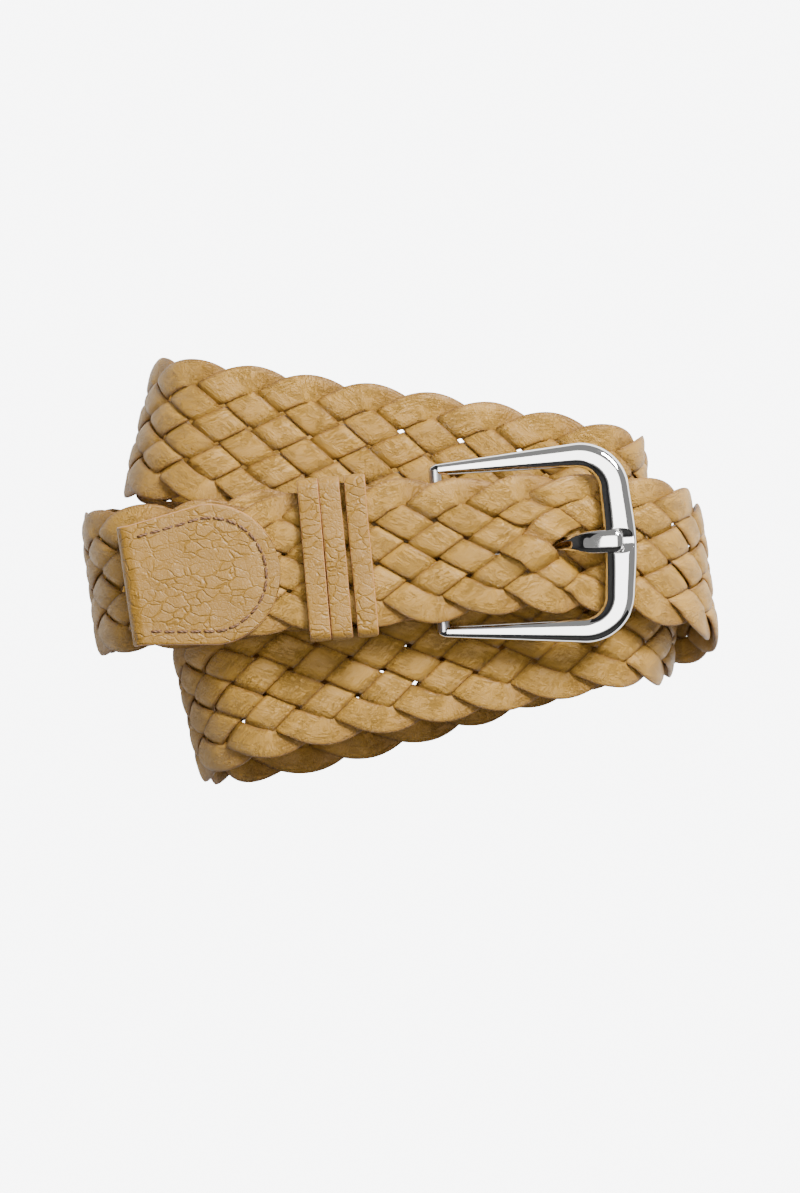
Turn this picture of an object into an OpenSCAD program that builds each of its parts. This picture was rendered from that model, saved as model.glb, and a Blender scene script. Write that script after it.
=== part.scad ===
// Braided leather belt, coiled in three turns and buckled on itself.
// It lies on its outer face. X runs along the passes, Y across the strap, Z up.
// The free end is the top layer; the buckle faces up.

/* [Coil] */
// Overall length of the coiled belt
coil_l = 150; // [138:1:184]
// Height of the innermost front pass above the table
coil_h = 41.5; // [36:0.5:52]
// Space between two layers of strap that lie on each other
layer_gap = 1.2; // [0.8:0.1:2]

/* [Braid] */
// Finished width of the strap
strap_w = 35; // [29:0.5:42]
// Width of one lace
lace_w = 6.4; // [5.4:0.1:6.6]
// Thickness of one lace
lace_t = 1.2; // [0.9:0.05:1.45]
// Height of a lace above or below the middle of the strap where it crosses another
weave_h = 1.3; // [1.1:0.05:1.6]
// Length of one braid pitch, from one edge scallop to the next
pitch = 14.2; // [11.8:0.1:17.1]

/* [Tip and chape] */
// Thickness of the grained leather
leather_t = 1.2; // [0.9:0.05:1.5]
// Length of the tip cap from its fold to its round end
cap_l = 36.5; // [30:0.5:44]
// Width of the tip cap at its fold
cap_fold_w = 27.4; // [22:0.2:32]
// Length of the chape from the heel bar to its round end
chape_l = 28; // [23:0.5:33]
// Distance of the stitches from the edge
stitch_inset = 3.2; // [2.4:0.1:4]
// Length of one stitch
stitch_l = 3.1; // [2.6:0.1:3.8]
// Diameter of the thread
thread_d = 0.62; // [0.5:0.02:0.75]

/* [Keepers] */
// Width of one keeper loop
keeper_w = 4.8; // [4:0.1:5.8]
// Thickness of the keeper leather
keeper_t = 1.4; // [1.1:0.05:1.7]

/* [Buckle] */
// Inside width between the arms of the buckle, more than the strap by this much
buckle_play = 0.4; // [0.3:0.1:1.5]
// Length from the heel bar to the outside of the outer bar
buckle_l = 45.6; // [38:0.2:55]
// Width of the outer bar at its middle
bar_w = 7.6; // [6.4:0.1:9]
// Width of an arm where it meets the outer bar
arm_w = 5.7; // [4.8:0.1:6.8]
// Thickness of the buckle frame
frame_t = 4; // [3.2:0.1:4.8]
// Diameter of the heel bar
heel_d = 3; // [2.5:0.1:3.6]
// Width of the prong where it rests on the outer bar
prong_w = 5.4; // [4.4:0.1:6.4]
// Thickness of the prong
prong_t = 2.2; // [1.8:0.1:2.6]

/* [Hidden] */

// ---- Clearances and thicknesses ----
fit = 0.25;
turn_fit = 0.1;
edge_pad = 0.5;
strap_half = weave_h + lace_t / 2;
press = 0.7;
pressed_half = press * strap_half;
cover_half = pressed_half + fit + leather_t;
layer = 2 * strap_half + layer_gap;
keeper_gap = 0.4;
thread_room = 0.35;

// ---- Layer heights ----
z_back1 = strap_half;
z_back2 = z_back1 + layer;
z_back3 = z_back2 + layer;
z_top = coil_h;
z_bottom = z_top + layer;
z_strap = z_bottom + strap_half + keeper_gap + keeper_t + fit + thread_room + cover_half;
z_free = z_strap + cover_half + fit + thread_room + strap_half;
z_under = z_strap + 0.3;

// ---- Plan of the coil: x follows coil_l, y follows strap_w ----
ux = coil_l / 150;
uy = strap_w / 35;
centre = [-0.14, -0.87];
cap_heading = 8.3;
buckle_heading = 3.2;

function unit(v) = v / norm(v);
function mix(a, b, k) = a + (b - a) * k;
function place(x, y, z) = [(x - centre[0]) * ux, (y - centre[1]) * uy, z];
heel = place(9, 4, z_strap);
// An x of the plan that keeps its place in the buckle when the coil or the buckle gets longer
function by_buckle(x) = 9 + (x - 9) * buckle_l / 45.6 / ux;

// A key of the route is [point, direction, across]. Across runs from the strap's lower edge to its upper edge.
function front(x, y, z, heading, climb = 0) =
    [place(x, y, z), [cos(heading) * cos(climb), sin(heading) * cos(climb), sin(climb)],
     [-sin(heading), cos(heading), 0]];
function back(x, y, z, heading) =
    [place(x, y, z), [cos(heading), sin(heading), 0], [sin(heading), -cos(heading), 0]];
function side(x, y, z, turn, lead, up) =
    let (a = [sin(turn), cos(turn), 0], v = [0, 0, up])
    [place(x, y, z), v * cos(lead) + a * sin(lead), a * cos(lead) - v * sin(lead)];

tip = place(-64.4, -4.5, z_free);
cap_dir = [cos(cap_heading), sin(cap_heading), 0];
cap_end = tip + cap_dir * (cap_l + 2);
end_gap = 1.4;
chape_dir = [cos(buckle_heading), sin(buckle_heading), 0];
strap_end = heel - chape_dir * (heel_d / 2 + end_gap);
chape_start = strap_end - chape_dir * (chape_l - 1);

keys = [
    [tip, cap_dir, [-sin(cap_heading), cos(cap_heading), 0]],
    [cap_end, cap_dir, [-sin(cap_heading), cos(cap_heading), 0]],
    front(-13, 2.7, z_free, 5.5),
    front(10, 4.4, z_free, 4),
    front(by_buckle(27), 5.6, z_free - 0.2, 3.5, -5),
    front(by_buckle(37.5), 6.2, z_free - 2.4, 2, -20),
    front(by_buckle(50), 5.4, z_under, -2),
    side(72.6, -2.2, (z_under + z_back1) / 2, -7, -12, -1),
    back(50, -11, z_back1, 194),
    back(-31, -34, z_back1, 190),
    side(-50.2, -34.6, (z_back1 + z_bottom) / 2, -12.9, 5, 1),
    front(-31, -27.2, z_bottom, 12),
    front(47, -11.8, z_bottom, 11),
    side(64.8, -9.5, (z_bottom + z_back2) / 2, 3.6, 12, -1),
    back(47, -1, z_back2, 162),
    back(8, 12.4, z_back2, 161),
    back(-44, 30, z_back1, 167),
    side(-61.8, 33.5, (z_back1 + z_top) / 2, 14, 1.5, 1),
    front(-44, 31.8, z_top, -8),
    front(44.5, 17.7, z_top, -11),
    side(57.4, 14, (z_top + z_back3) / 2, 0.6, -7, -1),
    back(44.5, 11, z_back3, 187),
    back(-56, -0.7, z_back3, 187),
    side(-73, -3.6, (z_back3 + z_strap) / 2, -7, -1, 1),
    front(-56, -2, z_strap, 3.2),
    [chape_start, chape_dir, [-sin(buckle_heading), cos(buckle_heading), 0]],
    [strap_end, chape_dir, [-sin(buckle_heading), cos(buckle_heading), 0]]];

// Each stretch between two keys is a cubic that turns like an arc.
function reach(p, q) =
    let (turn = acos(min(1, max(-1, p[1] * q[1]))), chord = norm(q[0] - p[0]))
    turn < 2 ? chord : chord * 2 * tan(turn / 4) / sin(turn / 2);
function along(p, q, k) =
    let (m = reach(p, q), k2 = k * k, k3 = k2 * k)
    p[0] * (2 * k3 - 3 * k2 + 1) + p[1] * m * (k3 - 2 * k2 + k)
    + q[0] * (3 * k2 - 2 * k3) + q[1] * m * (k3 - k2);
function heading_of(p, q, k) =
    let (m = reach(p, q), k2 = k * k)
    unit(p[0] * (6 * k2 - 6 * k) + p[1] * m * (3 * k2 - 4 * k + 1)
         + q[0] * (6 * k - 6 * k2) + q[1] * m * (3 * k2 - 2 * k));
function ease(k) = k * k * (3 - 2 * k);
function across_of(p, q, k, t) =
    let (b = mix(p[2], q[2], ease(k))) unit(b - t * (b * t));

raw_step = 2.5;
raw = [for (i = [0 : len(keys) - 2])
    let (p = keys[i], q = keys[i + 1], n = ceil(norm(q[0] - p[0]) / raw_step))
    for (k = [0 : n - (i == len(keys) - 2 ? 0 : 1)])
        let (t = heading_of(p, q, k / n))
        [along(p, q, k / n), t, across_of(p, q, k / n, t)]];
raw_n = len(raw);
raw_s = [for (i = 0, s = 0; i < raw_n; s = s + (i + 1 < raw_n ? norm(raw[i + 1][0] - raw[i][0]) : 0), i = i + 1) s];
strap_l = raw_s[raw_n - 1];

// The route again at even steps, so that a place along the strap is found by its index.
step = 2;
even_n = floor(strap_l / step);
function column(part, axis) = [for (i = [0 : raw_n - 1]) [raw_s[i], raw[i][part][axis]]];
columns = [for (part = [0 : 2]) for (axis = [0 : 2]) column(part, axis)];
route = [for (i = [0 : even_n + 1])
    let (c = [for (j = [0 : 8]) lookup(min(i * step, strap_l), columns[j])],
         b = unit([c[6], c[7], c[8]]), t = unit([c[3], c[4], c[5]]))
    [[c[0], c[1], c[2]], b, unit(cross(t, b))]];

// Narrowing under the cap and in the buckle, and pressing flat under cap and chape.
cap_edge_w = strap_w - 2;
pinch_share = 0.06;
chape_share = 0.07;
function ramp(s, from, to) = ease(min(1, max(0, (s - from) / (to - from))));
function narrow(s) =
    let (under_cap = mix((cap_fold_w - 2) / strap_w, (cap_edge_w - 1) / strap_w, ramp(s, 0, cap_l * 0.7)),
         opens = ramp(s, cap_l * 0.8, cap_l + 12),
         pinch = pinch_share * ramp(s, s_hole - 32, s_hole - 18) * (1 - ramp(s, s_hole + 16, s_hole + 30)),
         under_chape = chape_share * ramp(s, strap_l - chape_l - 8, strap_l - chape_l + 6))
    mix(under_cap, 1, opens) - pinch - under_chape;
function flat(s) =
    1 - (1 - press) * max(1 - ramp(s, cap_l + 1, cap_l + 13), ramp(s, strap_l - chape_l - 14, strap_l - chape_l - 2));

// ---- Lattice of the braid: six rows of crossings ----
laces = 7;
row_h = (strap_w / 2 - edge_pad - lace_w / 2) / 3;
slope = atan(2 * row_h / pitch);
skew_half = lace_w / 2 / sin(2 * slope);
rest = 0.18;
rest_edge = 0.25;

// The prong's hole in the braid: laces move aside, up on its left and down on its right.
hole_x = 36.1;
s_hole = cap_l + 2 + norm(place(by_buckle(hole_x), 6.2, z_free) - cap_end) + 0.6;
hole_row = -0.5;
hole_v = hole_row * row_h;
hole_shift = 0.9;
hole_spread = 2.2;
hole_lift = 2.7;
function bump(x, half) = max(0, 1 - x * x / (half * half));
function push(s, v) =
    let (x = s - s_hole, y = v - hole_v, near = bump(y, 3.3 * row_h))
    [hole_shift * bump(x, pitch) * near + hole_spread * sign(y) * bump(x, pitch * 0.46) * near,
     hole_lift * (bump(x + pitch / 2, pitch * 0.42) - bump(x - pitch / 2, pitch * 0.42)) * bump(y, 1.5 * row_h)];

// A point on the strap: s along, v across, h above its middle.
function spot(s, v, h) =
    let (f = max(0, min(s, strap_l - 0.01)) / step, i = floor(f), k = f - i,
         p = route[i], q = route[i + 1])
    mix(p[0], q[0], k) + mix(p[1], q[1], k) * v * narrow(s) + mix(p[2], q[2], k) * h * flat(s);

// ---- Laces ----
// Phase that puts a gap of the hole's row at the prong
phase0 = (s_hole / pitch - 0.5) - floor(s_hole / pitch - 0.5);

// Rings of one period: [phase, height, skew]; two at each crossing and one at each edge.
function rest_of(k, d) = (k == 1 || k == 8) && d < 0 || (k == 6 || k == 13) && d > 0 ? rest_edge : rest;
rings = concat([[0, 0, 0]],
    [for (k = [1 : 6]) for (d = [-1, 1]) [k / 2 + rest_of(k, d) * d, k % 2 == 0 ? 1 : -1, 1]],
    [[laces / 2, 0, 0]],
    [for (k = [8 : 13]) for (d = [-1, 1]) [k / 2 + rest_of(k, d) * d, k % 2 == 0 ? -1 : 1, -1]]);
function lateral(q) =
    q <= 0.5 ? row_h * (3 - 2 * q * q)
    : q < 3 ? row_h * (3.5 - 2 * q)
    : q <= 4 ? -row_h * (3 - 2 * (q - 3.5) * (q - 3.5))
    : q < 6.5 ? row_h * (2 * q - 10.5)
    : row_h * (3 - 2 * (q - 7) * (q - 7));
lace_from = 3.5;
lace_to = strap_l - 2;
skew_run = 3;

function lace_ring(s, v, height, skew) =
    let (m = push(s, v), h = height * weave_h + m[1], y = v + m[0],
         c = skew == 0 ? [0, lace_w / 2] : [skew * cos(slope), sin(slope)] * skew_half)
    [spot(s + c[0], y + c[1], h - lace_t / 2), spot(s - c[0], y - c[1], h - lace_t / 2),
     spot(s - c[0], y - c[1], h + lace_t / 2), spot(s + c[0], y + c[1], h + lace_t / 2)];

module lace(j) {
    first = floor((lace_from / pitch - j) / laces) - 1;
    last = ceil((lace_to / pitch - j) / laces) + 1;
    list = [for (m = [first : last]) for (r = rings)
        let (s = (r[0] + laces * m + j + phase0) * pitch)
        if (s > lace_from + skew_run && s < lace_to - skew_run) [s, lateral(r[0]), r[1], r[2]]];
    sweep([for (e = list) lace_ring(e[0], e[1], e[2], e[3])]);
}

// A closed solid through rings that all have the same number of points.
module sweep(all) {
    n = len(all[0]);
    m = len(all);
    faces = concat([[for (i = [n - 1 : -1 : 0]) i]], [[for (i = [0 : n - 1]) (m - 1) * n + i]],
        [for (r = [0 : m - 2]) for (i = [0 : n - 1]) for (half = [0, 1])
            let (a = r * n + i, b = r * n + (i + 1) % n)
            half == 0 ? [a, b, a + n] : [b, b + n, a + n]]);
    polyhedron([for (r = all) for (p = r) p], faces, convexity = 8);
}

lace_colour = "#D9B886";
grain_colour = "#D2AC74";
thread_colour = "#A87B55";
metal_colour = "#D8D8DC";

module lace_1() color(lace_colour) lace(0);
module lace_2() color(lace_colour) lace(1);
module lace_3() color(lace_colour) lace(2);
module lace_4() color(lace_colour) lace(3);
module lace_5() color(lace_colour) lace(4);
module lace_6() color(lace_colour) lace(5);
module lace_7() color(lace_colour) lace(6);

// ---- Tip cap: one piece folded round the end of the braid ----
module at_tip() translate(tip) rotate(cap_heading) children();

cap_round = cap_edge_w / 2;
module cap_outline() {
    polygon([[0, -cap_fold_w / 2], [cap_l - cap_round, -cap_round],
             [cap_l - cap_round, cap_round], [0, cap_fold_w / 2]]);
    translate([cap_l - cap_round, 0]) circle(r = cap_round, $fn = 96);
}
module tip_cap() color(grain_colour) at_tip() difference() {
    union() {
        intersection() {
            translate([0, 0, -cover_half]) linear_extrude(2 * cover_half) cap_outline();
            translate([cover_half, -strap_w, -cover_half]) cube([cap_l, 2 * strap_w, 2 * cover_half]);
        }
        intersection() {
            translate([0, 0, -cover_half]) linear_extrude(2 * cover_half) cap_outline();
            translate([cover_half, -strap_w, 0]) rotate([-90, 0, 0])
                cylinder(r = cover_half, h = 2 * strap_w, $fn = 48);
        }
    }
    translate([cover_half, -strap_w, -pressed_half - fit])
        cube([cap_l, 2 * strap_w, 2 * (pressed_half + fit)]);
}

// The stitch line runs inside the outline: top edge, round end, bottom edge.
stitch_r = cap_round - stitch_inset;
taper = atan((cap_round - cap_fold_w / 2) / (cap_l - cap_round));
function stitch_spot(x0, half0, xr, d) =
    let (edge = norm([xr - x0, stitch_r - half0]), arc = PI * stitch_r)
    d < edge ? concat(mix([x0, half0], [xr, stitch_r], d / edge))
    : d < edge + arc ? [xr + stitch_r * sin((d - edge) / stitch_r * 180 / PI),
                        stitch_r * cos((d - edge) / stitch_r * 180 / PI)]
    : mix([xr, -stitch_r], [x0, -half0], (d - edge - arc) / edge);
function stitch_length(x0, half0, xr) = 2 * norm([xr - x0, stitch_r - half0]) + PI * stitch_r;

// One thread: each stitch lies on the leather and dips into it at both ends.
module thread(x0, half0, xr, face) {
    total = stitch_length(x0, half0, xr);
    n = round(total / stitch_l);
    lift = thread_d * 0.2;
    dip = thread_d * 0.9;
    points = [for (i = [0 : n - 1]) for (e = [[0.06, -dip], [0.2, lift], [0.8, lift], [0.94, -dip]])
        let (p = stitch_spot(x0, half0, xr, (i + e[0]) * total / n)) [p[0], p[1], face * (cover_half + e[1])]];
    m = len(points);
    sweep([for (i = [0 : m - 1])
        let (t = unit(points[min(i + 1, m - 1)] - points[max(i - 1, 0)]),
             a = unit(cross([0, 0, 1], t)), b = cross(t, a))
        [for (k = [0 : 4]) points[i] + (a * cos(-72 * k) + b * sin(-72 * k)) * thread_d / 2]]);
}
cap_stitch_x = cover_half + 1.6;
cap_stitch_half = cap_fold_w / 2 + cap_stitch_x * tan(taper) - stitch_inset / cos(taper);
cap_centre = cap_l - cap_round;
module tip_needle_thread() color(thread_colour) at_tip() thread(cap_stitch_x, cap_stitch_half, cap_centre, 1);
module tip_bobbin_thread() color(thread_colour) at_tip() thread(cap_stitch_x, cap_stitch_half, cap_centre, -1);

// ---- Chape: folded round the heel bar, with a slot for the prong ----
module at_chape() translate(heel) rotate(buckle_heading + 180) children();

chape_fold_w = strap_w - 3.4;
eye_r = heel_d / 2 + turn_fit;
slot_w = 7;
slot_depth = 2.6;
chape_centre = chape_l - cap_round;
module chape_outline() {
    translate([-cover_half, -chape_fold_w / 2]) square([chape_centre + cover_half, chape_fold_w]);
    translate([chape_centre, 0]) intersection() {
        circle(r = cap_round, $fn = 96);
        translate([0, -chape_fold_w / 2]) square([cap_round, chape_fold_w]);
    }
}
module chape() color(grain_colour) at_chape() difference() {
    intersection() {
        translate([0, 0, -cover_half]) linear_extrude(2 * cover_half) chape_outline();
        union() {
            translate([0, -strap_w, -cover_half]) cube([chape_l + 1, 2 * strap_w, 2 * cover_half]);
            translate([0, strap_w, 0]) rotate([90, 0, 0]) cylinder(r = cover_half, h = 2 * strap_w, $fn = 48);
        }
    }
    translate([0, -strap_w, -pressed_half - fit]) cube([chape_l + 2, 2 * strap_w, 2 * (pressed_half + fit)]);
    translate([0, strap_w, 0]) rotate([90, 0, 0]) cylinder(r = eye_r, h = 2 * strap_w, $fn = 48);
    translate([-cover_half - 1, -slot_w / 2, -cover_half - 1])
        cube([cover_half + heel_d / 2 + slot_depth, slot_w, 2 * cover_half + 2]);
}
chape_stitch_x = heel_d / 2 + 4;
chape_stitch_half = chape_fold_w / 2 - stitch_inset;
module chape_needle_thread() color(thread_colour) at_chape()
    thread(chape_stitch_x, chape_stitch_half, chape_centre, 1);
module chape_bobbin_thread() color(thread_colour) at_chape()
    thread(chape_stitch_x, chape_stitch_half, chape_centre, -1);

// ---- Keeper loops round both layers of strap ----
keeper_heading = 5.2;
keeper_mid = place(-14.3, 2.4, 0);
keeper_x = [-0.95 - keeper_w - 0.25, -0.95, -0.95 + keeper_w + 1.2];
keeper_low = z_strap - cover_half - fit - thread_room;
keeper_high = z_free + strap_half + fit;
keeper_half = strap_w / 2 + 0.1;
keeper_corner = 2.2;
staple_l = 3.4;
staple_t = 0.5;
module at_keeper(i) translate([keeper_mid[0], keeper_mid[1], 0]) rotate(keeper_heading)
    translate([keeper_x[i] - keeper_w / 2, 0, 0]) children();
module loop_section(grow) {
    h = keeper_high - keeper_low + 2 * grow;
    w = 2 * (keeper_half + grow);
    r = keeper_corner - keeper_t + grow;
    translate([0, (keeper_high + keeper_low) / 2]) {
        square([w - 2 * r, h], center = true);
        square([w, h - 2 * r], center = true);
        for (x = [-1, 1]) for (y = [-1, 1])
            translate([x * (w / 2 - r), y * (h / 2 - r)]) circle(r = r, $fn = 32);
    }
}
module keeper(i) color(grain_colour) at_keeper(i) difference() {
    rotate([90, 0, 90]) linear_extrude(keeper_w) difference() {
        loop_section(keeper_t);
        loop_section(0);
    }
    translate([keeper_w / 2 - 0.5, -staple_l / 2, keeper_low - keeper_t - 1]) cube([1, staple_l, 1 + staple_t]);
}
module staple(i) color(metal_colour) at_keeper(i)
    translate([keeper_w / 2 - 0.35, -staple_l / 2 + 0.1, keeper_low - keeper_t])
        cube([0.7, staple_l - 0.2, staple_t]);
module keeper_1() keeper(0);
module keeper_2() keeper(1);
module keeper_3() keeper(2);
module staple_1() staple(0);
module staple_2() staple(1);
module staple_3() staple(2);

// ---- Buckle: open-heel frame, heel bar and prong ----
frame_up = 0.55;
bar_lift = z_under + strap_half + 0.35 + frame_t * (1 - frame_up) - z_strap;
bar_x = buckle_l - bar_w / 2;
buckle_tilt = asin(bar_lift / bar_x);
module at_buckle() translate(heel) rotate(buckle_heading) rotate([0, -buckle_tilt, 0]) children();

inside_half = strap_w / 2 + buckle_play - 0.2;
tip_w = 2.5;
heel_l = 2 * (inside_half + 1.3);
corner_r = 8.4;
tip_x = -1.4;
arm_y0 = inside_half + tip_w / 2;
arm_y1 = inside_half + arm_w / 2;
bow = 0.7;
corner_x = bar_x - corner_r;
corner_y = arm_y1 - corner_r;
arm_n = 14;
corner_n = 10;
bar_n = 8;
// Half of the frame's middle line, from the tip of an arm to the middle of the outer bar: [x, y, width]
half_line = concat(
    [for (i = [0 : arm_n - 1]) let (k = i / arm_n)
        [mix(tip_x, corner_x, k), mix(arm_y0, arm_y1, k), mix(tip_w, arm_w, k)]],
    [for (i = [0 : corner_n - 1]) let (a = 90 - 90 * i / corner_n)
        [corner_x + corner_r * cos(a), corner_y + corner_r * sin(a), mix(arm_w, bar_w - 0.6, i / corner_n)]],
    [for (i = [0 : bar_n]) let (k = i / bar_n)
        [bar_x + bow * sin(90 * k), corner_y * (1 - k), mix(bar_w - 0.6, bar_w, ease(k))]]);
frame_line = concat(half_line, [for (i = [len(half_line) - 2 : -1 : 0])
    [half_line[i][0], -half_line[i][1], half_line[i][2]]]);
frame_sides = 14;
function frame_height(w) = frame_t * mix(0.62, 1, min(1, (w - tip_w) / (arm_w - tip_w)));
function frame_ring(i, shrink = 1) =
    let (n = len(frame_line), p = frame_line[i],
         q = frame_line[min(i + 1, n - 1)], o = frame_line[max(i - 1, 0)],
         t = unit([q[0] - o[0], q[1] - o[1], 0]), a = cross([0, 0, 1], t), h = frame_height(p[2]))
    [for (k = [0 : frame_sides - 1])
        let (g = -360 * k / frame_sides, c = cos(g), s = sin(g))
        [p[0], p[1], 0] + shrink * (a * sign(c) * pow(abs(c), 0.8) * p[2] / 2
        + [0, 0, 1] * (s > 0 ? frame_up : 1 - frame_up) * h * sign(s) * pow(abs(s), 0.8))];
module frame_body() {
    n = len(frame_line);
    cap = tip_w * 0.35;
    sweep(concat(
        [[for (p = frame_ring(0, 0.45)) p - [cap, 0, 0]]],
        [for (i = [0 : n - 1]) frame_ring(i)],
        [[for (p = frame_ring(n - 1, 0.45)) p - [cap, 0, 0]]]));
}
rest_r = 4.6;
rest_depth = 0.9;
module buckle_frame() color(metal_colour) at_buckle() difference() {
    frame_body();
    rotate([90, 0, 0]) cylinder(d = heel_d, h = heel_l, center = true, $fn = 48);
    translate([bar_x, 0, frame_up * frame_t + rest_r - rest_depth]) rotate([0, 90, 0])
        cylinder(r = rest_r, h = 2 * bar_w, center = true, $fn = 64);
}
module heel_bar() color(metal_colour) at_buckle()
    rotate([90, 0, 0]) cylinder(d = heel_d, h = heel_l, center = true, $fn = 48);

prong_gap = 0.25;
// Middle line of the prong, seen from the side: [x, z, width, thickness]
prong_top = frame_up * frame_t - rest_depth + prong_t / 2 + prong_gap;
prong_line = [
    [heel_d / 2 + 0.4, 0.1, 3.6, prong_t],
    [buckle_l * 0.2, -0.2, 3.5, prong_t],
    [buckle_l * 0.38, -0.9, 3.4, prong_t],
    [buckle_l * 0.48, -0.9, 3, prong_t],
    [buckle_l * 0.56, -0.7, 2.8, prong_t * 0.85],
    [buckle_l * 0.64, 0.4, 3, prong_t * 0.85],
    [buckle_l * 0.71, 1.9, 4, prong_t * 0.95],
    [buckle_l * 0.78, prong_top - 0.3, prong_w - 0.2, prong_t],
    [buckle_l * 0.86, prong_top, prong_w, prong_t],
    [buckle_l * 0.91, prong_top, prong_w, prong_t],
    [buckle_l * 0.935, prong_top - 0.05, prong_w * 0.8, prong_t * 0.8],
    [buckle_l * 0.948, prong_top - 0.1, prong_w * 0.45, prong_t * 0.5]];
prong_sides = 12;
eye_w = 5;
module prong() color(metal_colour) at_buckle() difference() {
    union() {
        sweep([for (p = prong_line) [for (k = [0 : prong_sides - 1])
            let (g = -360 * k / prong_sides, c = cos(g), s = sin(g))
            [p[0], sign(c) * pow(abs(c), 0.8) * p[2] / 2, p[1] + sign(s) * pow(abs(s), 0.8) * p[3] / 2]]]);
        rotate([90, 0, 0]) cylinder(r = heel_d / 2 + 1.1, h = eye_w, center = true, $fn = 48);
    }
    rotate([90, 0, 0]) cylinder(r = heel_d / 2 + turn_fit, h = eye_w + 2, center = true, $fn = 48);
}

lace_1();
lace_2();
lace_3();
lace_4();
lace_5();
lace_6();
lace_7();
tip_cap();
tip_needle_thread();
tip_bobbin_thread();
chape();
chape_needle_thread();
chape_bobbin_thread();
keeper_1();
keeper_2();
keeper_3();
staple_1();
staple_2();
staple_3();
buckle_frame();
heel_bar();
prong();
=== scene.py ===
"""Braided leather belt, coiled and buckled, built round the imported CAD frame."""

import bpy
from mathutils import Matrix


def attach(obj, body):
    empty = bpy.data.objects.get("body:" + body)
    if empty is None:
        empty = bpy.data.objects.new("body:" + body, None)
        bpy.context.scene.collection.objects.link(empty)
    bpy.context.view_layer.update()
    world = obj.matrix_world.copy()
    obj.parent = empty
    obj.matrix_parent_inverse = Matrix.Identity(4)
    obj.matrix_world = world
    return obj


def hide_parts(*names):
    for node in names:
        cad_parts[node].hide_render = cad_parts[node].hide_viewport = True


bl_info = {
    "name": "Braided Leather Belt",
    "version": (1, 0, 0),
    "blender": (4, 5, 0),
    "location": "View3D > Sidebar > Belt",
    "description": "Laces, tip cap, chape, keepers and buckle of a coiled braided belt",
    "category": "Object",
}

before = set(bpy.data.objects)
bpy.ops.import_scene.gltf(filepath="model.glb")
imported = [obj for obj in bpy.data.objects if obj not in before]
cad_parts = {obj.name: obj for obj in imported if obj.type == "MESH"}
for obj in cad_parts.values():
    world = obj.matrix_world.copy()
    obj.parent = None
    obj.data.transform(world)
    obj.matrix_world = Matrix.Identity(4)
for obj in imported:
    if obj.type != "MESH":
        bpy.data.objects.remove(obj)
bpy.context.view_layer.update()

import math

import bpy
import numpy as np
from mathutils import Vector

MM = 0.001
TAU = 2 * math.pi


# ---------------------------------------------------------------- sizes

def millimetres(name, description, default, lowest=0.0, highest=500.0):
    """A length property in millimetres."""
    return bpy.props.FloatProperty(name=name, description=description, default=default,
                                   min=lowest, max=highest, precision=2)


def tint(name, description, default):
    """A colour property."""
    return bpy.props.FloatVectorProperty(name=name, description=description, default=default,
                                         subtype="COLOR", size=3, min=0.0, max=1.0)


class BeltBraid(bpy.types.PropertyGroup):
    """Sizes of the braided strap."""
    strap_width: millimetres("Strap width", "Finished width of the strap", 35.0)
    pitch: millimetres("Pitch", "Length from one edge scallop to the next", 14.2)
    lace_width: millimetres("Lace width", "Width of one lace", 6.8)
    bulge: millimetres("Bulge", "Height of one lace's crown", 1.0)
    rings_per_pitch: bpy.props.IntProperty(
        name="Rings per pitch", description="How finely a lace is divided", default=30, min=8, max=60)


class BeltLeather(bpy.types.PropertyGroup):
    """Sizes of the grained leather parts."""
    thickness: millimetres("Leather", "Thickness of the grained leather", 1.2)
    cap_length: millimetres("Cap length", "Tip cap from fold to round end", 36.5)
    cap_fold_width: millimetres("Fold width", "Width of the tip cap at its fold", 27.4)
    chape_length: millimetres("Chape length", "Chape from heel bar to round end", 28.0)
    stitch_inset: millimetres("Stitch inset", "Distance of the stitches from the edge", 3.2)
    stitch_length: millimetres("Stitch length", "Length of one stitch", 3.1)
    thread: millimetres("Thread", "Diameter of the thread", 0.62)
    keeper_width: millimetres("Keeper width", "Width of one keeper loop", 4.8)
    keeper_thickness: millimetres("Keeper leather", "Thickness of the keeper leather", 1.4)


class BeltBuckle(bpy.types.PropertyGroup):
    """Sizes of the buckle."""
    length: millimetres("Length", "Heel bar to the outside of the outer bar", 45.6)
    bar_width: millimetres("Bar width", "Outer bar at its middle", 7.6)
    arm_width: millimetres("Arm width", "Arm where it meets the outer bar", 5.7)
    tip_width: millimetres("Tip width", "Arm at its open end", 2.5)
    thickness: millimetres("Thickness", "Frame thickness", 4.0)
    heel_diameter: millimetres("Heel bar", "Diameter of the heel bar", 3.0)
    prong_width: millimetres("Prong width", "Prong where it rests on the bar", 5.4)
    prong_thickness: millimetres("Prong thickness", "Thickness of the prong", 2.2)


class BeltColours(bpy.types.PropertyGroup):
    """Colours of the belt and its stage."""
    lace: tint("Laces", "Soft nappa of the laces", (0.365, 0.194, 0.028))
    grained: tint("Grained", "Grained leather of cap and keepers", (0.265, 0.135, 0.016))
    paint: tint("Edge paint", "Painted cut edges", (0.40, 0.19, 0.07))
    thread: tint("Thread", "Sewing thread", (0.17, 0.078, 0.03))
    nickel: tint("Nickel", "Polished plate of the buckle", (0.80, 0.79, 0.775))
    steel: tint("Steel", "Heel bar and staples", (0.62, 0.62, 0.62))
    floor: tint("Floor", "Table under the belt", (0.90, 0.905, 0.915))


GROUPS = {"belt_braid": BeltBraid, "belt_leather": BeltLeather,
          "belt_buckle": BeltBuckle, "belt_colours": BeltColours}


def sizes(group):
    """The named property group of the scene."""
    return getattr(bpy.context.scene, group)


# ---------------------------------------------------------------- route of the strap

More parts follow.
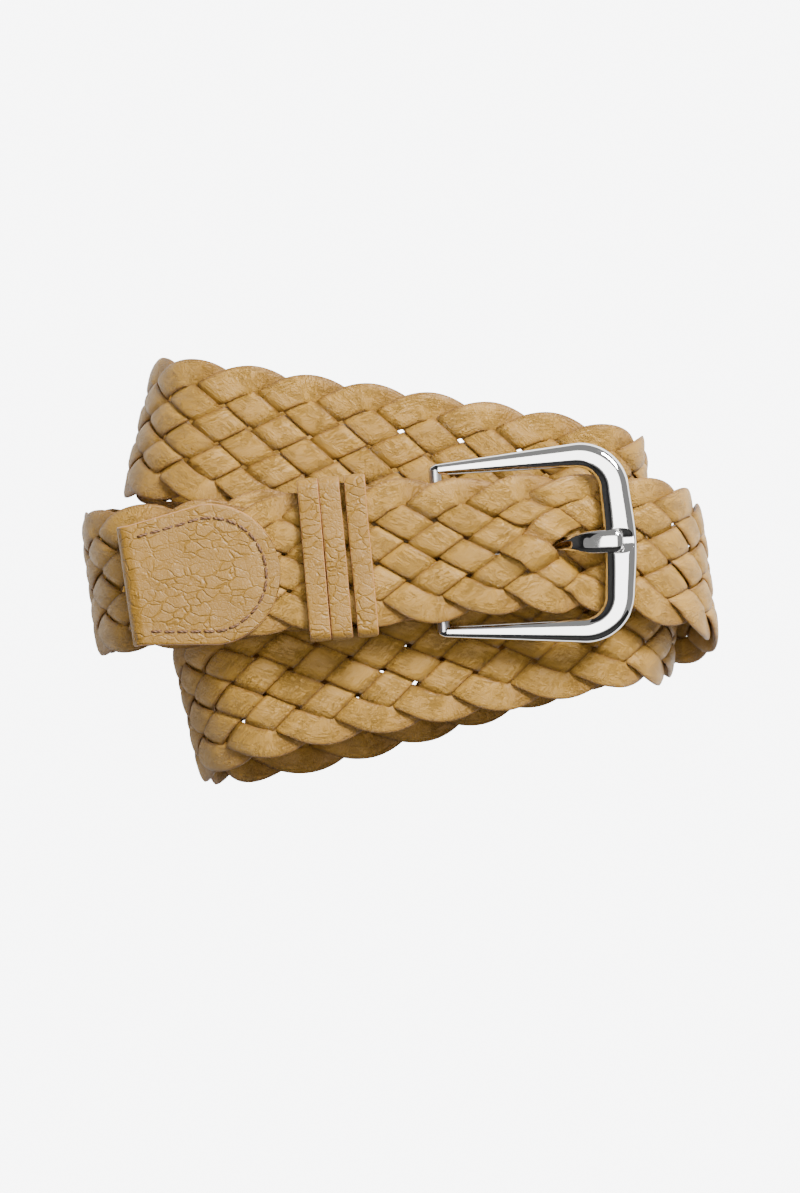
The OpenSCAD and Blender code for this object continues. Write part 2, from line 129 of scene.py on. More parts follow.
COIL_HEIGHT = 41.5          # middle of the innermost front pass
WEAVE = 1.3                 # the CAD lace above the strap's middle
CAD_LACE = 1.2              # thickness of the CAD lace
LAYER_GAP = 1.2
FIT = 0.25
THREAD_ROOM = 0.35
KEEPER_GAP = 0.4
PRESS = 0.7                 # how flat the braid is under the cap
HALF = WEAVE + CAD_LACE / 2
COVER_HALF = PRESS * HALF + FIT + 1.2
LAYER = 2 * HALF + LAYER_GAP
Z_BACK = [HALF, HALF + LAYER, HALF + 2 * LAYER]
Z_TOP = COIL_HEIGHT
Z_BOTTOM = Z_TOP + LAYER
Z_STRAP = Z_BOTTOM + HALF + KEEPER_GAP + 1.4 + FIT + THREAD_ROOM + COVER_HALF
Z_FREE = Z_STRAP + COVER_HALF + FIT + THREAD_ROOM + HALF
Z_UNDER = Z_STRAP + 0.3
CENTRE = (-0.14, -0.87)
CAP_HEADING = 8.3
BUCKLE_HEADING = 3.2


def unit(v):
    """Vectors scaled to length one."""
    v = np.asarray(v, float)
    return v / np.linalg.norm(v, axis=-1, keepdims=True)


def mix(a, b, k):
    """Part k of the way from a to b."""
    return a + (b - a) * k


def ease(k):
    """Smooth step from 0 to 1."""
    k = np.clip(k, 0.0, 1.0)
    return k * k * (3 - 2 * k)


def ramp(x, start, end):
    """Smooth step of x between start and end."""
    return ease((x - start) / (end - start))


def compass(degrees):
    """Unit vector in the plan at a heading."""
    a = math.radians(degrees)
    return np.array([math.cos(a), math.sin(a), 0.0])


def place(x, y, z):
    """A point of the plan, in the frame's millimetres."""
    return np.array([x - CENTRE[0], y - CENTRE[1], z])


def front(x, y, z, heading, climb=0.0):
    """A key of the route on a pass that runs to the right."""
    c = math.radians(climb)
    t = compass(heading) * math.cos(c) + np.array([0, 0, math.sin(c)])
    return place(x, y, z), t, compass(heading + 90)


def back(x, y, z, heading):
    """A key of the route on a pass that runs to the left."""
    return place(x, y, z), compass(heading), compass(heading - 90)


def side(x, y, z, turn, lead, up):
    """A key of the route at the outside of a curl."""
    a, v, b = compass(90 - turn), np.array([0, 0, float(up)]), math.radians(lead)
    return place(x, y, z), v * math.cos(b) + a * math.sin(b), a * math.cos(b) - v * math.sin(b)


def route_keys(leather, buckle):
    """Places, directions and across-directions that the strap passes through."""
    tip, cap_dir, cap_across = place(-64.4, -4.5, Z_FREE), compass(CAP_HEADING), compass(CAP_HEADING + 90)
    heel, out, across = place(9, 4, Z_STRAP), compass(BUCKLE_HEADING), compass(BUCKLE_HEADING + 90)
    strap_end = heel - out * (buckle.heel_diameter / 2 + 1.4)
    return [
        (tip, cap_dir, cap_across),
        (tip + cap_dir * (leather.cap_length + 2), cap_dir, cap_across),
        front(-13, 2.7, Z_FREE, 5.5),
        front(10, 4.4, Z_FREE, 4),
        front(27, 5.6, Z_FREE - 0.2, 3.5, -5),
        front(37.5, 6.2, Z_FREE - 2.4, 2, -20),
        front(50, 5.4, Z_UNDER, -2),
        side(72.6, -2.2, (Z_UNDER + Z_BACK[0]) / 2, -7, -12, -1),
        back(50, -11, Z_BACK[0], 194),
        back(-31, -34, Z_BACK[0], 190),
        side(-50.2, -34.6, (Z_BACK[0] + Z_BOTTOM) / 2, -12.9, 5, 1),
        front(-31, -27.2, Z_BOTTOM, 12),
        front(47, -11.8, Z_BOTTOM, 11),
        side(64.8, -9.5, (Z_BOTTOM + Z_BACK[1]) / 2, 3.6, 12, -1),
        back(47, -1, Z_BACK[1], 162),
        back(8, 12.4, Z_BACK[1], 161),
        back(-44, 30, Z_BACK[0], 167),
        side(-61.8, 33.5, (Z_BACK[0] + Z_TOP) / 2, 14, 1.5, 1),
        front(-44, 31.8, Z_TOP, -8),
        front(44.5, 17.7, Z_TOP, -11),
        side(57.4, 14, (Z_TOP + Z_BACK[2]) / 2, 0.6, -7, -1),
        back(44.5, 11, Z_BACK[2], 187),
        back(-56, -0.7, Z_BACK[2], 187),
        side(-73, -3.6, (Z_BACK[2] + Z_STRAP) / 2, -7, -1, 1),
        front(-56, -2, Z_STRAP, 3.2),
        (strap_end - out * (leather.chape_length - 1), out, across),
        (strap_end, out, across),
    ]


class Strap:
    """The strap's middle surface, found by length along, offset across and height."""
    raw_step = 2.5
    even_step = 1.0

    def __init__(self, braid, leather, buckle):
        self.leather, self.width = leather, braid.strap_width
        keys = route_keys(leather, buckle)
        points, tangents, acrosses = [], [], []
        for (p0, t0, b0), (p1, t1, b1) in zip(keys, keys[1:]):
            chord = float(np.linalg.norm(p1 - p0))
            turn = math.acos(max(-1.0, min(1.0, float(t0 @ t1))))
            m = chord if turn < math.radians(2) else chord * 2 * math.tan(turn / 4) / math.sin(turn / 2)
            n = math.ceil(chord / self.raw_step) * 3
            k = (np.arange(n) / n)[:, None]
            points.append(p0 * (2 * k**3 - 3 * k**2 + 1) + t0 * m * (k**3 - 2 * k**2 + k)
                          + p1 * (3 * k**2 - 2 * k**3) + t1 * m * (k**3 - k**2))
            tangents.append(unit(p0 * (6 * k**2 - 6 * k) + t0 * m * (3 * k**2 - 4 * k + 1)
                                 + p1 * (6 * k - 6 * k**2) + t1 * m * (3 * k**2 - 2 * k)))
            acrosses.append(mix(b0, b1, ease(k)))
        last = keys[-1]
        points = np.vstack(points + [last[0]])
        tangents = np.vstack(tangents + [last[1]])
        acrosses = np.vstack(acrosses + [last[2]])
        acrosses = unit(acrosses - tangents * (acrosses * tangents).sum(1, keepdims=True))
        run = np.concatenate([[0.0], np.cumsum(np.linalg.norm(np.diff(points, axis=0), axis=1))])
        self.length = float(run[-1])
        self.run = np.arange(0.0, self.length, self.even_step)
        spread = [np.stack([np.interp(self.run, run, a[:, i]) for i in range(3)], 1)
                  for a in (points, tangents, acrosses)]
        self.point, t, b = spread[0], unit(spread[1]), unit(spread[2])
        self.across, self.normal = b, unit(np.cross(t, b))
        self.hole = (leather.cap_length + 2 + 0.6
                     + float(np.linalg.norm(place(36.1, 6.2, Z_FREE) - keys[1][0])))

    def look(self, table, s):
        """A row of a table of the route at each length s."""
        return np.stack([np.interp(s, self.run, table[:, i]) for i in range(3)], -1)

    def narrow(self, s):
        """Share of the full width: less under the cap, in the buckle and under the chape."""
        cap, fold = self.leather.cap_length, self.leather.cap_fold_width
        under_cap = mix((fold - 2) / self.width, (self.width - 3) / self.width, ramp(s, 0, cap * 0.7))
        pinch = 0.06 * ramp(s, self.hole - 32, self.hole - 18) * (1 - ramp(s, self.hole + 16, self.hole + 30))
        chape_end = self.length - self.leather.chape_length
        under_chape = 0.07 * ramp(s, chape_end - 8, chape_end + 6)
        return mix(under_cap, 1.0, ramp(s, cap * 0.8, cap + 12)) - pinch - under_chape

    def flat(self, s):
        """Share of the full thickness: less under the cap and the chape."""
        cap, chape_end = self.leather.cap_length, self.length - self.leather.chape_length
        under = np.maximum(1 - ramp(s, cap + 1, cap + 13), ramp(s, chape_end - 14, chape_end - 2))
        return 1 - (1 - PRESS) * under

    def spot(self, s, v, h):
        """Points at s along, v across and h above the middle surface."""
        s = np.clip(s, 0.0, self.run[-1])
        return (self.look(self.point, s) + self.look(self.across, s) * (v * self.narrow(s))[..., None]
                + self.look(self.normal, s) * (h * self.flat(s))[..., None])


# ---------------------------------------------------------------- meshes

def add_mesh(name, points, faces, layers=None, smooth=True):
    """A mesh object from points in millimetres, faces and named vertex layers."""
    mesh = bpy.data.meshes.new(name)
    mesh.from_pydata((np.asarray(points, float) * MM).tolist(), [], faces)
    for layer, values in (layers or {}).items():
        values = np.asarray(values, np.float32)
        kind = "FLOAT" if values.ndim == 1 else "FLOAT_VECTOR"
        mesh.attributes.new(layer, kind, "POINT").data.foreach_set(
            "value" if values.ndim == 1 else "vector", values.ravel())
    mesh.polygons.foreach_set("use_smooth", [smooth] * len(mesh.polygons))
    mesh.validate()
    mesh.update()
    thing = bpy.data.objects.new(name, mesh)
    bpy.context.scene.collection.objects.link(thing)
    return thing


def ring_faces(rings, sides, closed=False, caps=True, start=0):
    """Quads of a tube of rings, with its end caps."""
    r = np.arange(rings if closed else rings - 1)[:, None]
    i = np.arange(sides)[None, :]
    after, beside = (r + 1) % rings, (i + 1) % sides
    quads = np.stack([r * sides + i + 0 * after, r * sides + beside, after * sides + beside,
                      after * sides + i], -1).reshape(-1, 4) + start
    faces = quads.tolist()
    if caps and not closed:
        faces.append([start + k for k in reversed(range(sides))])
        faces.append([start + (rings - 1) * sides + k for k in range(sides)])
    return faces


def drift(s, rng, wavelength):
    """Smooth random values between -1 and 1 along s."""
    knots = rng.uniform(-1, 1, int(np.max(s) / wavelength) + 6)
    x = np.clip(s / wavelength + 1, 0, len(knots) - 2)
    i = np.floor(x).astype(int)
    return mix(knots[i], knots[i + 1], ease(x - i))


# ---------------------------------------------------------------- shader helper

class Wire:
    """A socket with arithmetic, so that shader maths reads like maths."""

    def __init__(self, net, socket):
        self.net, self.socket = net, socket

    def maths(self, operation, *values):
        return self.net.node("ShaderNodeMath", {"operation": operation},
                             dict(enumerate((self, *values))))

    def __add__(self, other):
        return self.maths("ADD", other)

    def __sub__(self, other):
        return self.maths("SUBTRACT", other)

    def __mul__(self, other):
        return self.maths("MULTIPLY", other)

    def __neg__(self):
        return self.maths("MULTIPLY", -1.0)

    def __rsub__(self, other):
        return -self + other

    __radd__, __rmul__ = __add__, __mul__


class Net:
    """One procedural material."""

    def __init__(self, name):
        self.material = bpy.data.materials.new(name)
        self.material.use_nodes = True
        self.tree = self.material.node_tree
        self.shader = self.tree.nodes["Principled BSDF"]

    def node(self, kind, settings=None, values=None, out=0):
        """A node of a type, with its settings and its socket values or links."""
        made = self.tree.nodes.new(kind)
        for key, value in (settings or {}).items():
            setattr(made, key, value)
        for key, value in (values or {}).items():
            self.join(made.inputs[key], value)
        return Wire(self, made.outputs[out])

    def join(self, socket, value):
        """Links a wire to a socket, or sets its value."""
        if isinstance(value, Wire):
            self.tree.links.new(value.socket, socket)
        elif hasattr(socket.default_value, "__len__") and len(socket.default_value) == 4 and len(value) == 3:
            socket.default_value = (*value, 1.0)
        else:
            socket.default_value = value

    def finish(self, **sockets):
        """Feeds the shader's own sockets, named with _ for a space."""
        for key, value in sockets.items():
            self.join(self.shader.inputs[key.replace("_", " ")], value)
        return self.material

    def attribute(self, name, out=2):
        return self.node("ShaderNodeAttribute", {"attribute_name": name}, out=out)

    def axis(self, vector, index):
        return self.node("ShaderNodeSeparateXYZ", None, {0: vector}, out=index)

    def vector(self, x, y, z):
        return self.node("ShaderNodeCombineXYZ", None, {0: x, 1: y, 2: z})

    def scaled(self, vector, factors):
        return self.node("ShaderNodeVectorMath", {"operation": "MULTIPLY"}, {0: vector, 1: factors})

    def noise(self, vector, scale, detail=3.0, roughness=0.5):
        return self.node("ShaderNodeTexNoise", None,
                         {"Vector": vector, "Scale": scale, "Detail": detail, "Roughness": roughness})

    def cells(self, vector, scale, feature="DISTANCE_TO_EDGE", out=0):
        return self.node("ShaderNodeTexVoronoi", {"feature": feature},
                         {"Vector": vector, "Scale": scale}, out)

    def step(self, value, low, high):
        """Smooth step of a wire between two values."""
        return self.node("ShaderNodeMapRange", {"interpolation_type": "SMOOTHSTEP"},
                         {"Value": value, "From Min": low, "From Max": high})

    def blend(self, factor, a, b):
        """Colour part way from a to b."""
        return self.node("ShaderNodeMix", {"data_type": "RGBA"}, {0: factor, 6: a, 7: b}, out=2)

    def bump(self, height, strength, distance, normal=None):
        values = {"Strength": strength, "Distance": distance, "Height": height}
        if normal is not None:
            values["Normal"] = normal
        return self.node("ShaderNodeBump", None, values)


def shade(colour, factor):
    """A colour times a factor."""
    return tuple(min(1.0, c * factor) for c in colour)


def kept(name):
    """A material that was made before, or None."""
    return bpy.data.materials.get(name)


def lace_leather():
    """Soft nappa with fine creases that run across the lace and down into its turns, with painted shade at
    its edges, where it dives under, and in its creases.
    """
    name = "woven_nappa"
    if kept(name):
        return kept(name)
    net, colour = Net(name), tuple(sizes("belt_colours").lace)
    run = net.attribute("run", out=1)
    along, across, crown = (net.axis(run, i) for i in range(3))
    lace = net.attribute("lace_no")
    skin = net.vector(along, across * 3.7, lace * 9.0)
    creases = net.noise(net.scaled(skin, (1.1, 0.35, 1.0)), 1.0, 4.0, 0.62)
    fold_lines = net.noise(net.scaled(skin, (0.22, 1.1, 1.0)), 1.0, 4.0, 0.6)
    patches = net.noise(skin, 0.16, 2.0)
    grain = net.cells(skin, 2.1)
    tone = net.noise(skin, 0.11, 2.0)
    edge = across.maths("ABSOLUTE")
    # Painted shade: the colour darkens towards the lace's long edges, where neighbouring laces shade it.
    rim = net.step(edge, 0.72, 1.0)
    # Painted shade: the colour darkens where the lace dips under its neighbours.
    low = net.step(crown, 0.55, -0.9)
    warm = net.blend(net.step(tone, 0.3, 0.7), shade(colour, 0.93), shade(colour, 1.05))
    edge_shaded = net.blend(rim * 0.75, warm, (colour[0] * 0.45, colour[1] * 0.36, colour[2] * 0.26))
    final = net.blend(low * 0.55, edge_shaded, (colour[0] * 0.5, colour[1] * 0.41, colour[2] * 0.30))
    wrinkled = net.step(patches, 0.46, 0.62)
    folded = net.step(net.noise(skin, 0.21, 2.0), 0.45, 0.60)
    cross_lines = 1.0 - net.step((creases - 0.5).maths("ABSOLUTE"), 0.0, 0.045)
    long_lines = 1.0 - net.step((fold_lines - 0.5).maths("ABSOLUTE"), 0.0, 0.05)
    height = (net.step(creases, 0.3, 0.7) * 0.35 + net.step(grain, 0.0, 0.16) * 0.08
              - cross_lines * (wrinkled * 0.75 + 0.05) - long_lines * (folded * 0.8 + 0.05))
    # Painted shade in the crease lines: the colour darkens a little along the deepest creases.
    crease_shade = (cross_lines * wrinkled).maths("MAXIMUM", long_lines * folded)
    final = net.blend(crease_shade * 0.07, final, (colour[0] * 0.5, colour[1] * 0.4, colour[2] * 0.3))
    rough = net.node("ShaderNodeMapRange", None,
                     {"Value": creases, "From Min": 0.3, "From Max": 0.7, "To Min": 0.50, "To Max": 0.40})
    return net.finish(Base_Color=final, Roughness=rough, Normal=net.bump(height, 0.65, 0.0008),
                      Specular_IOR_Level=0.42, Coat_Weight=0.06, Coat_Roughness=0.35)


# ---------------------------------------------------------------- laces

LACES = 7
EDGE_PAD = 0.5
CAD_LACE_WIDTH = 6.4
HOLE_ROW, HOLE_SHIFT, HOLE_SPREAD, HOLE_LIFT = -0.5, 0.9, 2.2, 2.7


def bump(x, half):
    """A rounded bump of height 1 over half to each side."""
    return np.maximum(0.0, 1 - (x / half) ** 2)


class Lattice:
    """Where each lace runs on the strap."""

    def __init__(self, strap, braid):
        self.strap, self.braid, self.pitch = strap, braid, braid.pitch
        self.row = (braid.strap_width / 2 - EDGE_PAD - CAD_LACE_WIDTH / 2) / 3
        self.slope = math.atan(2 * self.row / self.pitch)
        self.phase = (strap.hole / self.pitch - 0.5) % 1.0

    def lateral(self, q):
        """Offset across the strap at a phase of the lace."""
        r = self.row
        return np.select(
            [q <= 0.5, q < 3, q <= 4, q < 6.5],
            [r * (3 - 2 * q**2), r * (3.5 - 2 * q), -r * (3 - 2 * (q - 3.5)**2), r * (2 * q - 10.5)],
            r * (3 - 2 * (q - 7)**2))

    def height(self, q):
        """Over or under, from 1 to -1, with a flat crown at each crossing."""
        inner = np.where(q < 3.5, q - 0.5, q - 4.0)
        k = inner * 2
        i = np.floor(k)
        sign = np.where(i % 2 == 0, -1.0, 1.0)
        r = 2 * (k - i)
        plateau = np.where(r < 1, sign * (1 - r**4.2), -sign * (1 - np.abs(2 - r)**4.2))
        from_edge = np.where(q < 0.5, q, np.where(q > 6.5, q - 7, q - 3.5))
        at_edge = (q < 0.5) | (q > 6.5) | (np.abs(q - 3.5) < 0.5)
        turn = -np.sin(math.pi * from_edge)
        return np.where(at_edge, turn, plateau)

    def push(self, s, v):
        """How far the prong moves the laces aside and up or down."""
        x, y = s - self.strap.hole, v - HOLE_ROW * self.row
        near = bump(y, 3.3 * self.row)
        aside = HOLE_SHIFT * bump(x, self.pitch) * near \
            + HOLE_SPREAD * np.sign(y) * bump(x, self.pitch * 0.46) * near
        lift = HOLE_LIFT * (bump(x + self.pitch / 2, self.pitch * 0.42)
                            - bump(x - self.pitch / 2, self.pitch * 0.42)) * bump(y, 1.5 * self.row)
        return aside, lift


LACE_SIDES = 20


def lace_object(name, number, lattice):
    """One lace from the cap to the chape, woven over and under the others."""
    strap, braid, pitch = lattice.strap, lattice.braid, lattice.pitch
    rng = np.random.default_rng(40 + number)
    s = np.arange(4.5, strap.length - 4.0, pitch / braid.rings_per_pitch)
    q = (s / pitch - number - lattice.phase) % LACES
    v, h = lattice.lateral(q), lattice.height(q)
    direction = np.arctan2(np.gradient(v, s), 1.0)
    from_apex = np.where(q < 1.75, q, np.where(q > 5.25, q - 7, q - 3.5))
    top_apex = (q < 1.75) | (q > 5.25)
    lean = (math.pi / 2 - lattice.slope) * ease(np.abs(from_apex) / 0.42) * np.sign(from_apex)
    alpha = math.pi / 2 + np.where(top_apex, -lean, lean)
    wide = braid.lace_width / 2 * (1 + 0.05 * h + 0.035 * drift(s, rng, 11.0))
    half = wide / np.maximum(0.45, np.abs(np.sin(alpha - direction)))
    v = v + 0.16 * drift(s, rng, 8.0)
    bulge = braid.bulge * (1 + 0.05 * drift(s, rng, 9.0))
    tilt = 0.07 * drift(s, rng, 7.5)
    by_prong = bump(s - strap.hole, pitch) * bump(v - HOLE_ROW * lattice.row, 2.6 * lattice.row)
    bulge, tilt = mix(bulge, WEAVE, by_prong), tilt * (1 - by_prong)

    turn = TAU * (np.arange(LACE_SIDES) + 0.5) / LACE_SIDES
    eta, top = np.cos(turn), np.sin(turn)
    eta = np.sign(eta) * np.abs(eta) ** 0.8
    thick = mix(0.62 * bulge, 0.42, by_prong)[:, None] * (1 - np.abs(eta) ** 4.0) + 0.15
    rise = (h * bulge)[:, None] * (1 + 0.06 * eta**2) + np.sign(top) * thick + tilt[:, None] * eta * 2
    ss = s[:, None] + (np.cos(alpha) * half)[:, None] * eta
    vv = v[:, None] + (np.sin(alpha) * half)[:, None] * eta
    aside, lift = lattice.push(s, v)
    points = strap.spot(ss, vv + aside[:, None], rise + lift[:, None])

    along = np.broadcast_to(s[:, None] / math.cos(lattice.slope), (len(s), LACE_SIDES))
    run = np.stack([along, np.broadcast_to(eta, along.shape), np.broadcast_to(h[:, None], along.shape)
                    * np.sign(top)], -1)
    return add_mesh(name, points.reshape(-1, 3), ring_faces(len(s), LACE_SIDES),
                    {"run": run.reshape(-1, 3), "lace_no": np.full(along.size, float(number))})


class BELT_OT_laces(bpy.types.Operator):
    """Weave the seven laces along the coiled strap"""
    bl_idname = "belt.laces"
    bl_label = "Laces"

    def execute(self, context):
        strap = Strap(context.scene.belt_braid, context.scene.belt_leather, context.scene.belt_buckle)
        lattice = Lattice(strap, context.scene.belt_braid)
        for number in range(LACES):
            node = f"lace_{number + 1}"
            thing = lace_object(f"woven_{node}", number, lattice)
            thing.data.materials.append(lace_leather())
            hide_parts(node)
            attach(thing, "strap")
        return {"FINISHED"}


# ---------------------------------------------------------------- grained leather parts

CAP_HALF = 16.5
CORE = PRESS * HALF + FIT


class Place:
    """A turned and moved local frame on the belt."""

    def __init__(self, origin, heading, tilt=0.0):
        h, t = math.radians(heading), math.radians(tilt)
        x = np.array([math.cos(h) * math.cos(t), math.sin(h) * math.cos(t), math.sin(t)])
        y = np.array([-math.sin(h), math.cos(h), 0.0])
        self.origin, self.axes = np.asarray(origin, float), np.stack([x, y, np.cross(x, y)])

    def out(self, points):
        """Local points in the belt's frame."""
        return self.origin + np.asarray(points, float) @ self.axes


def tip_place():
    return Place(place(-64.4, -4.5, Z_FREE), CAP_HEADING)


def chape_place():
    return Place(place(9, 4, Z_STRAP), BUCKLE_HEADING + 180)


def buckle_place(buckle):
    lift = Z_UNDER + HALF + 0.35 + buckle.thickness * 0.45 - Z_STRAP
    return Place(place(9, 4, Z_STRAP), BUCKLE_HEADING,
                 math.degrees(math.asin(lift / (buckle.length - buckle.bar_width / 2))))


def rim_section(across, round_steps=4):
    """Closed outline of a strip: (share across, share of thickness, is outer, is rim)."""
    flat_run = np.linspace(1, -1, across)
    a = np.linspace(0, math.pi / 2, round_steps + 1)[1:-1]
    rows = [(e, 0.5, 1.0, 0.0) for e in flat_run]
    rows += [(-1, 0.5 * math.cos(2 * k), 0.0, 1.0) for k in a]
    rows += [(e, -0.5, -1.0, 0.0) for e in -flat_run]
    rows += [(1, -0.5 * math.cos(2 * k), 0.0, 1.0) for k in a]
    return np.array(rows)


def strip(centre, outward, sideways, half, thick, closed=False, across=25, edge=0.35, relief=None):
    """A leather strip: middle points, outward normals, half widths and thicknesses along it."""
    section = rim_section(across)
    n, k = len(centre), len(section)
    eta, zeta, face, rim = section.T
    half, thick = np.broadcast_to(half, n)[:, None], np.broadcast_to(thick, n)[:, None]
    inset = np.where(rim > 0, 0.0, edge)
    reach = np.sign(eta) * np.maximum(0.0, np.abs(eta) * half - np.where(np.abs(eta) > 0.999, inset, 0.0))
    shoulder = np.clip((half - np.abs(reach)) / (edge * 2.2), 0.0, 1.0)
    rounding = 1 - 0.22 * (1 - np.sqrt(1 - (1 - shoulder) ** 2))
    level = zeta * thick * np.where(rim > 0, 0.8, rounding)
    run = np.concatenate([[0.0], np.cumsum(np.linalg.norm(np.diff(centre, axis=0), axis=1))])
    if relief is not None:
        level = level + np.where(face > 0, relief(run[:, None] + 0 * reach, reach), 0.0)
    points = (centre[:, None, :] + reach[..., None] * np.asarray(sideways, float)
              + level[..., None] * outward[:, None, :])
    skin = np.stack([run[:, None] + 0 * reach, reach, face + 0 * reach], -1)
    return points, ring_faces(n, k, closed), {"skin": skin.reshape(-1, 3)}


def folded_path(level, centre_x, round_half, straight_half, fold_from):
    """Stations of a leather piece folded round the end of the strap: bottom end, fold, top end."""
    round_steps, straight_steps, fold_steps = 26, 34, 18
    a = np.linspace(math.radians(88.5), 0, round_steps)
    x = np.concatenate([centre_x + round_half * np.sin(a),
                        np.linspace(centre_x, fold_from, straight_steps)[1:]])
    half = np.concatenate([np.minimum(round_half * np.cos(a), straight_half(centre_x)),
                           straight_half(np.linspace(centre_x, fold_from, straight_steps)[1:])])
    turn = np.linspace(0, math.pi, fold_steps + 2)[1:-1]
    fx, fz = fold_from - level * np.sin(turn), -level * np.cos(turn)
    centre = np.concatenate([np.stack([x, 0 * x, -level + 0 * x], 1), np.stack([fx, 0 * fx, fz], 1),
                             np.stack([x[::-1], 0 * x, level + 0 * x], 1)])
    outward = np.concatenate([np.tile([0.0, 0, -1], (len(x), 1)),
                              np.stack([-np.sin(turn), 0 * turn, -np.cos(turn)], 1),
                              np.tile([0.0, 0, 1], (len(x), 1))])
    halves = np.concatenate([half, np.full(fold_steps, half[-1]), half[::-1]])
    return centre, outward, halves


def grained_leather():
    """Pebbled leather with creases; the cut edges are painted."""
    name = "pebbled_leather"
    if kept(name):
        return kept(name)
    net, colours = Net(name), sizes("belt_colours")
    colour, paint = tuple(colours.grained), tuple(colours.paint)
    skin = net.attribute("skin", out=1)
    spot = net.node("ShaderNodeTexCoord", None, None, out=3)
    spot = net.scaled(spot, (1000.0, 1000.0, 1000.0))
    bend = net.node("ShaderNodeTexNoise", None, {"Vector": spot, "Scale": 0.3, "Detail": 2.0}, out=1)
    bent = net.node("ShaderNodeVectorMath", {"operation": "MULTIPLY_ADD"},
                    {0: bend, 1: (2.3, 2.3, 2.3), 2: spot})
    pebbles = net.cells(net.scaled(bent, (0.60, 1.05, 1.0)), 0.44)
    fine = net.cells(net.scaled(bent, (1.0, 0.9, 1.0)), 1.2)
    dips = net.noise(spot, 0.16, 2.0)
    groove = net.step(pebbles, 0.0, 0.10)
    small = net.step(fine, 0.0, 0.2)
    tone = net.noise(spot, 0.09, 2.0)
    face = net.axis(skin, 2)
    hide = net.blend(net.step(tone, 0.3, 0.7), shade(colour, 0.94), shade(colour, 1.05))
    lined = net.blend((1.0 - groove) * (net.step(dips, 0.35, 0.65) * 0.13 + 0.02), hide,
                      (colour[0] * 0.55, colour[1] * 0.45, colour[2] * 0.34))
    edge = net.step(face.maths("ABSOLUTE"), 0.9, 0.35)
    final = net.blend(edge, lined, paint)
    height = (groove * (net.step(dips, 0.35, 0.65) * 0.85 + 0.15) + small * 0.14) * (1.0 - edge)
    return net.finish(Base_Color=final, Roughness=edge * -0.1 + 0.47, Normal=net.bump(height, 0.55, 0.0005),
                      Specular_IOR_Level=0.4, Coat_Weight=0.05, Coat_Roughness=0.35)


def sewn(thing, material, slot, body, *nodes):
    """Gives a piece its material and body and hides the CAD nodes that it stands for; the slot is not used.
    """
    thing.data.materials.append(material)
    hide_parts(*nodes)
    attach(thing, body)


def seam(x0, half0, centre_x, radius):
    """Points of a stitch line, top edge, round end and bottom edge, with its length."""
    a = np.linspace(0, math.pi, 90)
    arc = np.stack([centre_x + radius * np.sin(a), radius * np.cos(a)], 1)
    line = np.vstack([[x0, half0], arc, [x0, -half0]])
    return line, np.concatenate([[0.0], np.cumsum(np.linalg.norm(np.diff(line, axis=0), axis=1))])


def thread_object(name, where, line, run, level, leather, rng):
    """Stitches along a line: each lies on the leather and dips into it at both ends."""
    count = round(run[-1] / leather.stitch_length)
    pace, sides, rings = run[-1] / count, 10, 13
    points, faces, ply = [], [], []
    k = np.linspace(0.05, 0.95, rings)
    for i in range(count):
        wobble = rng.uniform(-0.09, 0.09, 2)
        d = (i + k) * pace
        x, y = np.interp(d, run, line[:, 0]), np.interp(d, run, line[:, 1])
        t = unit(np.stack([np.gradient(x), np.gradient(y)], 1))
        side_x, side_y = -t[:, 1], t[:, 0]
        sway = mix(wobble[0], wobble[1], k)
        rise = leather.thread * (0.30 - 1.1 * np.abs(2 * k - 1) ** 5)
        r = leather.thread / 2 * (1 - 0.35 * np.abs(2 * k - 1) ** 6)
        for j in range(rings):
            for a in TAU * np.arange(sides) / sides:
                swell = 1 + 0.07 * math.cos(2 * a - d[j] * 5.2)
                off = r[j] * 1.08 * swell * math.cos(a) + sway[j]
                points.append((x[j] + side_x[j] * off, y[j] + side_y[j] * off,
                               level * (CORE + leather.thickness + rise[j] + r[j] * swell * math.sin(a))))
                ply.append((d[j], a, 0.0))
        faces += ring_faces(rings, sides, start=i * rings * sides)
    return add_mesh(name, where.out(points), faces, {"ply": ply})


def twisted_thread():
    """Waxed sewing thread with the slant of its plies, painted darker in the grooves between the plies and
    lighter on their crowns.
    """
    name = "waxed_thread"
    if kept(name):
        return kept(name)
    net, colour = Net(name), tuple(sizes("belt_colours").thread)
    ply = net.attribute("ply", out=1)
    slant = (net.axis(ply, 0) * 5.2 - net.axis(ply, 1) * 2.0).maths("SINE")
    # Painted shade and painted light: a darker copy of the thread colour in the ply grooves and a lighter
    # copy on the ply crowns.
    final = net.blend(net.step(slant, -0.9, 0.6), shade(colour, 0.5), shade(colour, 1.15))
    return net.finish(Base_Color=final, Roughness=0.6, Normal=net.bump(slant, 0.5, 0.0001))


def stitch_dent(line, depth):
    """Relief of a leather piece along its stitch line, on both leaves."""
    def relief(x, y):
        gap = np.min(np.hypot(x[..., None] - line[::2, 0], y[..., None] - line[::2, 1]), -1)
        return -depth * np.exp(-(gap / 0.75) ** 2)
    return relief


def cap_parts(leather):
    """The tip cap's seam line and how its half width changes."""
    xr, fold_half = leather.cap_length - CAP_HALF, leather.cap_fold_width / 2
    taper = math.atan((CAP_HALF - fold_half) / xr)
    x0 = CORE + leather.thickness + 1.6
    half0 = fold_half + x0 * math.tan(taper) - leather.stitch_inset / math.cos(taper)
    return xr, fold_half, x0, half0


